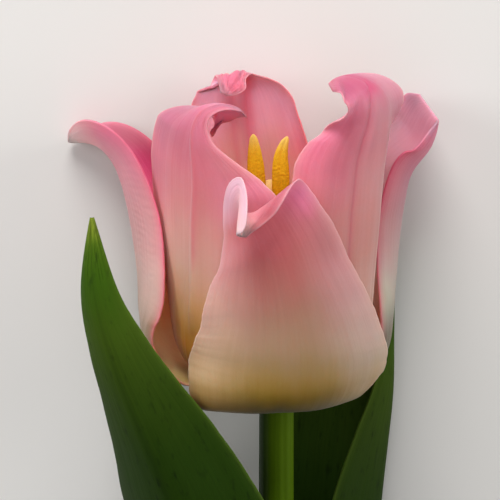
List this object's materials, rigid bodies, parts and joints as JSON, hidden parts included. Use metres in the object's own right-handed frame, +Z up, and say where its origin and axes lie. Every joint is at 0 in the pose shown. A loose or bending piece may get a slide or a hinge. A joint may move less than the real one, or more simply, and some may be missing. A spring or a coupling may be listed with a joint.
{
  "type": "cut tulip flower",
  "caption": "Single cut tulip with pleated pink petals that curl out at their tips, a leafy stem, and a stigma with stamens inside; it lies on its two outer side petals and stem end.",
  "frame": {"origin": "middle of the flower's footprint, on the surface that it lies on", "axes": "+Y along the flower from the cut end of the stem to the petals' tips, +Z up from the surface, +X across the bloom to the viewer's right when the bloom is seen from above with its tips up"},
  "size_m": [0.068, 0.2552, 0.0526],
  "materials": {
    "front_petal": "satin petal, rose at the tip and cream-olive at the base",
    "side_petal": "satin petal, rose and salmon with a pleat down the middle",
    "back_petal": "satin petal, deep pink on its inner face",
    "pale_petal": "satin petal, pale pink outside with a crimson margin",
    "stem": "matt green with a waxy bloom",
    "leaf": "matt dark green with fine lengthwise veins",
    "filament": "smooth pale cream",
    "anther": "dry mealy orange-yellow",
    "ovary": "smooth pale green",
    "stigma": "velvety pale yellow"
  },
  "bodies": {
    "root": {"stem": "stem", "leaf_left": "leaf", "leaf_right": "leaf", "tepal_outer_front": "front_petal", "tepal_inner_left": "side_petal", "tepal_inner_right": "side_petal", "tepal_outer_left": "pale_petal", "tepal_outer_right": "pale_petal", "tepal_inner_back": "back_petal", "filament_1": "filament", "anther_1": "anther", "filament_2": "filament", "anther_2": "anther", "filament_3": "filament", "anther_3": "anther", "filament_4": "filament", "anther_4": "anther", "filament_5": "filament", "anther_5": "anther", "filament_6": "filament", "anther_6": "anther", "ovary": "ovary", "stigma": "stigma"}
  },
  "joints": []
}
